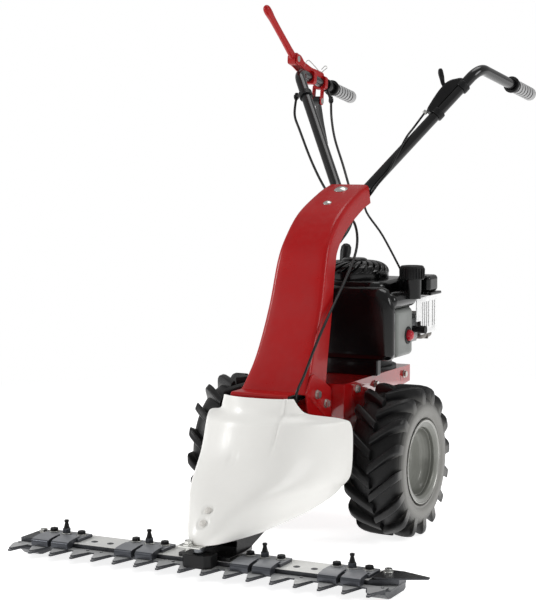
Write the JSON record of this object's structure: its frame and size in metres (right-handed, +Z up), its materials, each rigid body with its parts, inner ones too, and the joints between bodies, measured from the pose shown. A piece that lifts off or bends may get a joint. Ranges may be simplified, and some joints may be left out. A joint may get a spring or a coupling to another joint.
{
  "type": "sickle bar mower",
  "caption": "Walk-behind mower with a wide toothed cutter bar under a pointed white guard, red frame column, lugged tyres, small vertical-shaft engine and splayed handlebar.",
  "frame": {"origin": "middle of the footprint on the ground", "axes": "+Z up, -Y towards the cutter bar, +Y towards the grips, +X to the left wheel seen from the operator facing back"},
  "size_m": [0.896, 1.2677, 1.1741],
  "materials": {
    "red_paint": "gloss enamel",
    "white_shell": "smooth moulded",
    "black_paint": "gloss enamel",
    "black_cast": "black coated casting",
    "bar_steel": "rolled",
    "knife_steel": "ground",
    "dark_steel": "blackened",
    "zinc": "zinc plated",
    "bright_steel": "turned",
    "guard_metal": "bright plated",
    "exhaust_steel": "heat dulled",
    "pulley_steel": "satin",
    "alloy": "as cast",
    "bronze": "plain bearing",
    "rim_paint": "silver enamel",
    "tyre_rubber": "moulded tread",
    "grip_rubber": "ribbed",
    "belt_rubber": "cloth faced",
    "engine_gloss": "moulded",
    "engine_matte": "moulded",
    "cleaner_grey": "moulded",
    "primer_red": "soft bulb",
    "cable_black": "sheathed cable",
    "rope_cord": "braided"
  },
  "bodies": {
    "chassis": {"tray": "red_paint", "column": "red_paint", "lever_mount": "red_paint", "front_guard": "white_shell", "guard_bolts": "white_shell", "handle_tubes": "black_paint", "bar_flange": "black_paint", "gear_case": "black_cast", "crankcase": "black_cast", "cutter_bar": "bar_steel", "comb": "bar_steel", "end_shoes": "bar_steel", "knife_clips": "dark_steel", "clip_bolts": "dark_steel", "frame_bolts": "zinc", "nose_bracket": "zinc", "bar_bolts": "zinc", "handle_clamp": "zinc", "muffler_guard": "guard_metal", "muffler": "exhaust_steel", "gearbox": "alloy", "engine_cylinder": "alloy", "axle_bushes": "bronze", "grips": "grip_rubber", "blade_belt": "belt_rubber", "drive_belt": "belt_rubber", "fuel_tank": "engine_gloss", "blower_housing": "engine_gloss", "starter_dome": "engine_gloss", "oil_filler": "engine_matte", "throttle_body": "engine_matte", "cable_stops": "engine_matte", "spark_plug": "engine_matte", "air_cleaner": "cleaner_grey", "cables": "cable_black"},
    "wheel_set": {"axle": "bright_steel", "wheel_pins": "zinc", "rim_left": "rim_paint", "rim_right": "rim_paint", "tyre_left": "tyre_rubber", "tyre_right": "tyre_rubber"},
    "knife_bar": {"knife": "knife_steel", "knife_head": "dark_steel"},
    "swing_arm": {"swing_arm": "knife_steel"},
    "crank": {"crankshaft": "bright_steel", "engine_pulley": "pulley_steel", "flywheel": "alloy"},
    "blade_pulley": {"blade_pulley": "pulley_steel"},
    "gearbox_pulley": {"gearbox_pulley": "pulley_steel"},
    "blade_lever": {"blade_lever": "red_paint"},
    "idler_arm": {"idler_arm": "zinc"},
    "idler_wheel": {"idler_wheel": "pulley_steel"},
    "drive_lever": {"drive_lever": "black_paint"},
    "selector_arm": {"selector_arm": "zinc"},
    "throttle_lever": {"throttle_lever": "engine_matte"},
    "fuel_cap": {"fuel_cap": "engine_matte"},
    "oil_cap": {"oil_cap": "engine_matte"},
    "primer_bulb": {"primer_bulb": "primer_red"},
    "starter": {"starter_grip": "engine_matte", "starter_rope": "rope_cord"}
  },
  "joints": [
    {"name": "axle_spin", "type": "hinge", "parent": "chassis", "child": "wheel_set", "pos_m": [0, -0.075, 0.165], "axis": [1, 0, 0], "continuous": true},
    {"name": "knife_slide", "type": "slide", "parent": "chassis", "child": "knife_bar", "axis": [1, 0, 0], "range_m": [-0.025, 0.025]},
    {"name": "arm_swing", "type": "hinge", "parent": "chassis", "child": "swing_arm", "pos_m": [-0.012, -0.495, 0.06], "axis": [0, 0, 1], "range_deg": [-14.45, 14.45]},
    {"name": "crank_spin", "type": "hinge", "parent": "chassis", "child": "crank", "pos_m": [0.01, 0.09, 0.4], "axis": [0, 0, 1], "continuous": true},
    {"name": "blade_pulley_spin", "type": "hinge", "parent": "chassis", "child": "blade_pulley", "pos_m": [0, -0.29, 0.318], "axis": [0, 0, 1], "continuous": true},
    {"name": "gearbox_pulley_spin", "type": "hinge", "parent": "chassis", "child": "gearbox_pulley", "pos_m": [0, -0.075, 0.3], "axis": [0, 0, 1], "continuous": true},
    {"name": "blade_lever_swing", "type": "hinge", "parent": "chassis", "child": "blade_lever", "pos_m": [-0.244, 0.291, 1.055], "axis": [1, 0, 0], "range_deg": [-85, 0]},
    {"name": "idler_arm_swing", "type": "hinge", "parent": "chassis", "child": "idler_arm", "pos_m": [0.086, -0.035, 0.307], "axis": [0, 0, 1], "range_deg": [-8.7, 0]},
    {"name": "idler_spin", "type": "hinge", "parent": "idler_arm", "child": "idler_wheel", "pos_m": [0.082, -0.135, 0.318], "axis": [0, 0, 1], "continuous": true},
    {"name": "drive_lever_swing", "type": "hinge", "parent": "chassis", "child": "drive_lever", "pos_m": [-0.244, 0.423, 0.957], "axis": [1, 0, 0], "range_deg": [0, 45]},
    {"name": "selector_swing", "type": "hinge", "parent": "chassis", "child": "selector_arm", "pos_m": [-0.054, -0.045, 0.209], "axis": [1, 0, 0], "range_deg": [0, 20.25]},
    {"name": "throttle_swing", "type": "hinge", "parent": "chassis", "child": "throttle_lever", "pos_m": [0.16852, 0.24247, 0.97878], "axis": [0.4551, -0.847, 0.2748], "range_deg": [-10, 45]},
    {"name": "fuel_cap_turn", "type": "hinge", "parent": "chassis", "child": "fuel_cap", "pos_m": [0.157, 0.077, 0.56], "axis": [0, 0, 1], "range_deg": [0, 90]},
    {"name": "oil_cap_turn", "type": "hinge", "parent": "chassis", "child": "oil_cap", "pos_m": [-0.104, 0.09, 0.52], "axis": [0, 0, 1], "range_deg": [0, 90]},
    {"name": "primer_press", "type": "slide", "parent": "chassis", "child": "primer_bulb", "axis": [-1, 0, 0], "range_m": [0, 0.006], "stiffness_N_per_m": 400},
    {"name": "starter_pull", "type": "slide", "parent": "chassis", "child": "starter", "axis": [0, 0.3489, 0.9371], "range_m": [0, 0.4], "stiffness_N_per_m": 12, "deforming": ["starter_rope"]}
  ],
  "couplings": [
    {"joint": "arm_swing", "follows": "knife_slide", "rad_per_m": 10.08},
    {"joint": "blade_pulley_spin", "follows": "crank_spin", "ratio": 0.66667},
    {"joint": "gearbox_pulley_spin", "follows": "crank_spin", "ratio": 0.6},
    {"joint": "idler_arm_swing", "follows": "blade_lever_swing", "ratio": 0.1022},
    {"joint": "selector_swing", "follows": "drive_lever_swing", "ratio": 0.449}
  ]
}
